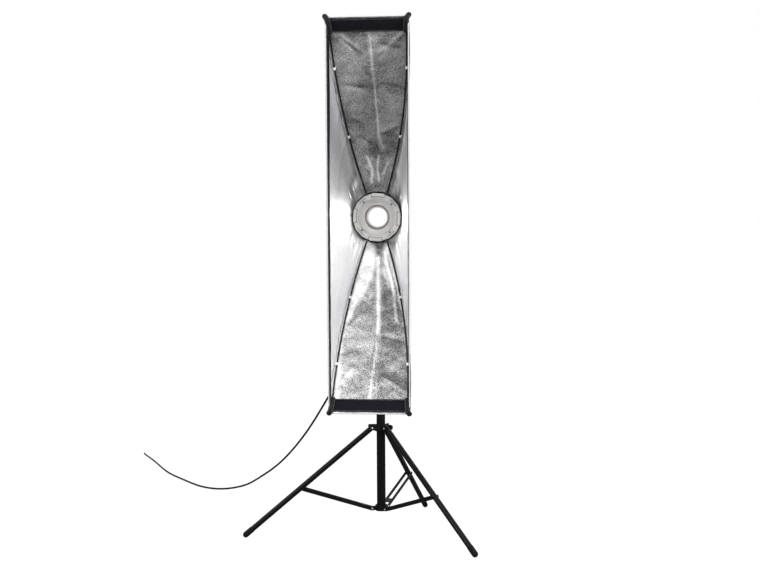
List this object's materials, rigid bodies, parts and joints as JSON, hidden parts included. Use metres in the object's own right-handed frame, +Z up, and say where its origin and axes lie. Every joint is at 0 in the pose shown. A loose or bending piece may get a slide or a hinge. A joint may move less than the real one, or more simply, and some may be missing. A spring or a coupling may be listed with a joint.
{
  "type": "studio softbox",
  "caption": "Tall strip softbox with an open front and silver lining, on a flash head with a tilting bracket, on a folding telescopic light stand, with a trailing power cord.",
  "frame": {"origin": "centre of the bounding box on the floor", "axes": "+Z up; the softbox's open front faces -Y, dipping a little; +X to the viewer's right when facing the front"},
  "size_m": [2.0048, 2.6348, 1.9169],
  "materials": {
    "black_metal": "black anodised, satin",
    "black_plastic": "moulded, fine grain",
    "steel": "zinc plated",
    "brass": "machined",
    "casing_paint": "powder coated",
    "cast_grey": "die-cast, satin",
    "ceramic": "unglazed",
    "frosted_glass": "frosted",
    "clear_glass": "clear",
    "board_green": "circuit board",
    "capacitor_blue": "sleeved",
    "switch_red": "moulded",
    "silver_lining": "silver-coated nylon inside, black outside",
    "black_fabric": "hook-and-loop and webbing",
    "grey_piping": "woven piping",
    "black_rod": "spring steel, black",
    "cord_rubber": "matt"
  },
  "bodies": {
    "column": {"lower_tube": "black_metal", "base_collar": "black_plastic", "lower_clamp": "black_plastic", "power_cord": "cord_rubber"},
    "leg_hub": {"leg_hub": "black_plastic"},
    "leg_left": {"leg_left": "black_metal", "foot_left": "black_plastic"},
    "leg_right": {"leg_right": "black_metal", "foot_right": "black_plastic"},
    "leg_back": {"leg_back": "black_metal", "foot_back": "black_plastic"},
    "strut_left": {"strut_left": "black_metal"},
    "strut_right": {"strut_right": "black_metal"},
    "strut_back": {"strut_back": "black_metal"},
    "leg_hub_knob": {"leg_hub_knob": "black_plastic"},
    "lower_clamp_knob": {"lower_clamp_knob": "black_plastic"},
    "middle_section": {"middle_tube": "black_metal", "upper_clamp": "black_plastic"},
    "upper_clamp_knob": {"upper_clamp_knob": "black_plastic"},
    "top_section": {"top_tube": "black_metal", "spigot": "brass"},
    "receiver": {"receiver": "black_metal", "tilt_bolt": "steel"},
    "receiver_knob": {"receiver_knob": "black_plastic"},
    "tilt_lever": {"tilt_lever": "black_plastic"},
    "head": {"head_lug": "black_metal", "head_casing": "casing_paint", "front_bezel": "cast_grey", "rear_panel": "black_plastic", "lamp_socket": "ceramic", "modelling_lamp": "frosted_glass", "flash_tube": "clear_glass", "glass_dome": "frosted_glass", "flash_capacitor": "capacitor_blue", "circuit_board": "board_green", "carry_handle": "black_plastic", "cord_connector": "cord_rubber", "ring_insert": "cast_grey"},
    "fan_rotor": {"fan_rotor": "black_plastic"},
    "power_dial": {"power_dial": "black_plastic"},
    "modelling_dial": {"modelling_dial": "black_plastic"},
    "test_button": {"test_button": "switch_red"},
    "power_switch": {"power_switch": "switch_red"},
    "release_slider": {"release_slider": "black_plastic"},
    "softbox": {"speed_ring": "cast_grey", "side_panel_left": "silver_lining", "side_panel_right": "silver_lining", "end_panel_top": "silver_lining", "end_panel_bottom": "silver_lining", "front_facing": "black_fabric", "front_binding": "grey_piping", "corner_pocket_top_left": "black_fabric", "corner_pocket_top_right": "black_fabric", "corner_pocket_bottom_left": "black_fabric", "corner_pocket_bottom_right": "black_fabric", "rod_top_left": "black_rod", "rod_top_right": "black_rod", "rod_bottom_left": "black_rod", "rod_bottom_right": "black_rod"},
    "ring_lock_screw": {"ring_lock_screw": "steel"}
  },
  "joints": [
    {"name": "hub_slide", "type": "slide", "parent": "column", "child": "leg_hub", "axis": [0, 0, 1], "range_m": [0, 0.34213]},
    {"name": "leg_left_fold", "type": "hinge", "parent": "leg_hub", "child": "leg_left", "pos_m": [0.58666, -0.76566, 0.41585], "axis": [0.23, -0.9732, 0], "range_deg": [0, 48.05]},
    {"name": "strut_left_fold", "type": "hinge", "parent": "column", "child": "strut_left", "pos_m": [0.58471, -0.76612, 0.097], "axis": [-0.23, 0.9732, 0], "range_deg": [0, 69.33]},
    {"name": "leg_right_fold", "type": "hinge", "parent": "leg_hub", "child": "leg_right", "pos_m": [0.64804, -0.78407, 0.41585], "axis": [0.7278, 0.6858, 0], "range_deg": [0, 48.05]},
    {"name": "strut_right_fold", "type": "hinge", "parent": "column", "child": "strut_right", "pos_m": [0.64942, -0.78553, 0.097], "axis": [-0.7278, -0.6858, 0], "range_deg": [0, 69.33]},
    {"name": "leg_back_fold", "type": "hinge", "parent": "leg_hub", "child": "leg_back", "pos_m": [0.6333, -0.72171, 0.41585], "axis": [-0.9578, 0.2874, 0], "range_deg": [0, 48.05]},
    {"name": "strut_back_fold", "type": "hinge", "parent": "column", "child": "strut_back", "pos_m": [0.63388, -0.71979, 0.097], "axis": [0.9578, -0.2874, 0], "range_deg": [0, 69.33]},
    {"name": "leg_hub_knob_turn", "type": "hinge", "parent": "leg_hub", "child": "leg_hub_knob", "pos_m": [0.65624, -0.74921, 0.41585], "axis": [0.9732, 0.23, 0], "range_deg": [-180, 180]},
    {"name": "lower_clamp_knob_turn", "type": "hinge", "parent": "column", "child": "lower_clamp_knob", "pos_m": [0.63917, -0.72857, 0.846], "axis": [0.5, 0.866, 0], "range_deg": [-180, 180]},
    {"name": "middle_slide", "type": "slide", "parent": "column", "child": "middle_section", "axis": [0, 0, 1], "range_m": [-0.058, 0.53]},
    {"name": "upper_clamp_knob_turn", "type": "hinge", "parent": "middle_section", "child": "upper_clamp_knob", "pos_m": [0.63767, -0.73117, 0.968], "axis": [0.5, 0.866, 0], "range_deg": [-180, 180]},
    {"name": "top_slide", "type": "slide", "parent": "middle_section", "child": "top_section", "axis": [0, 0, 1], "range_m": [-0.055, 0.5]},
    {"name": "head_pan", "type": "hinge", "parent": "top_section", "child": "receiver", "pos_m": [0.62267, -0.75715, 1.075], "axis": [0, 0, 1], "range_deg": [-170, 170]},
    {"name": "receiver_knob_turn", "type": "hinge", "parent": "receiver", "child": "receiver_knob", "pos_m": [0.62267, -0.73215, 1.075], "axis": [0, 1, 0], "range_deg": [-180, 180]},
    {"name": "tilt_lever_turn", "type": "hinge", "parent": "receiver", "child": "tilt_lever", "pos_m": [0.62267, -0.75715, 1.164], "axis": [1, 0, 0], "range_deg": [-60, 60]},
    {"name": "head_tilt", "type": "hinge", "parent": "receiver", "child": "head", "pos_m": [0.62267, -0.75715, 1.164], "axis": [1, 0, 0], "range_deg": [-70, 20], "deforming": ["power_cord"]},
    {"name": "softbox_turn", "type": "hinge", "parent": "head", "child": "softbox", "pos_m": [0.62267, -0.88128, 1.24766], "axis": [0, -0.9963, -0.0858], "continuous": true},
    {"name": "ring_lock_turn", "type": "hinge", "parent": "softbox", "child": "ring_lock_screw", "pos_m": [0.6837, -0.85653, 1.18756], "axis": [0.7015, 0.0611, -0.71], "range_deg": [-180, 180]},
    {"name": "fan_spin", "type": "hinge", "parent": "head", "child": "fan_rotor", "pos_m": [0.62267, -0.59235, 1.27253], "axis": [0, -0.9963, -0.0858], "continuous": true},
    {"name": "power_dial_turn", "type": "hinge", "parent": "head", "child": "power_dial", "pos_m": [0.60267, -0.56224, 1.30524], "axis": [0, 0.9963, 0.0858], "range_deg": [-135, 135]},
    {"name": "modelling_dial_turn", "type": "hinge", "parent": "head", "child": "modelling_dial", "pos_m": [0.64267, -0.56224, 1.30524], "axis": [0, 0.9963, 0.0858], "range_deg": [-135, 135]},
    {"name": "test_button_press", "type": "slide", "parent": "head", "child": "test_button", "axis": [0, -0.9963, -0.0858], "range_m": [0, 0.003]},
    {"name": "power_switch_rock", "type": "hinge", "parent": "head", "child": "power_switch", "pos_m": [0.62267, -0.55878, 1.25334], "axis": [1, 0, 0], "range_deg": [0, 14]},
    {"name": "release_slide", "type": "slide", "parent": "head", "child": "release_slider", "axis": [0, 0.9963, 0.0858], "range_m": [0, 0.008]}
  ],
  "couplings": [
    {"joint": "leg_left_fold", "follows": "hub_slide", "rad_per_m": 2.4487},
    {"joint": "strut_left_fold", "follows": "hub_slide", "rad_per_m": 3.534},
    {"joint": "leg_right_fold", "follows": "hub_slide", "rad_per_m": 2.4487},
    {"joint": "strut_right_fold", "follows": "hub_slide", "rad_per_m": 3.534},
    {"joint": "leg_back_fold", "follows": "hub_slide", "rad_per_m": 2.4487},
    {"joint": "strut_back_fold", "follows": "hub_slide", "rad_per_m": 3.534}
  ]
}
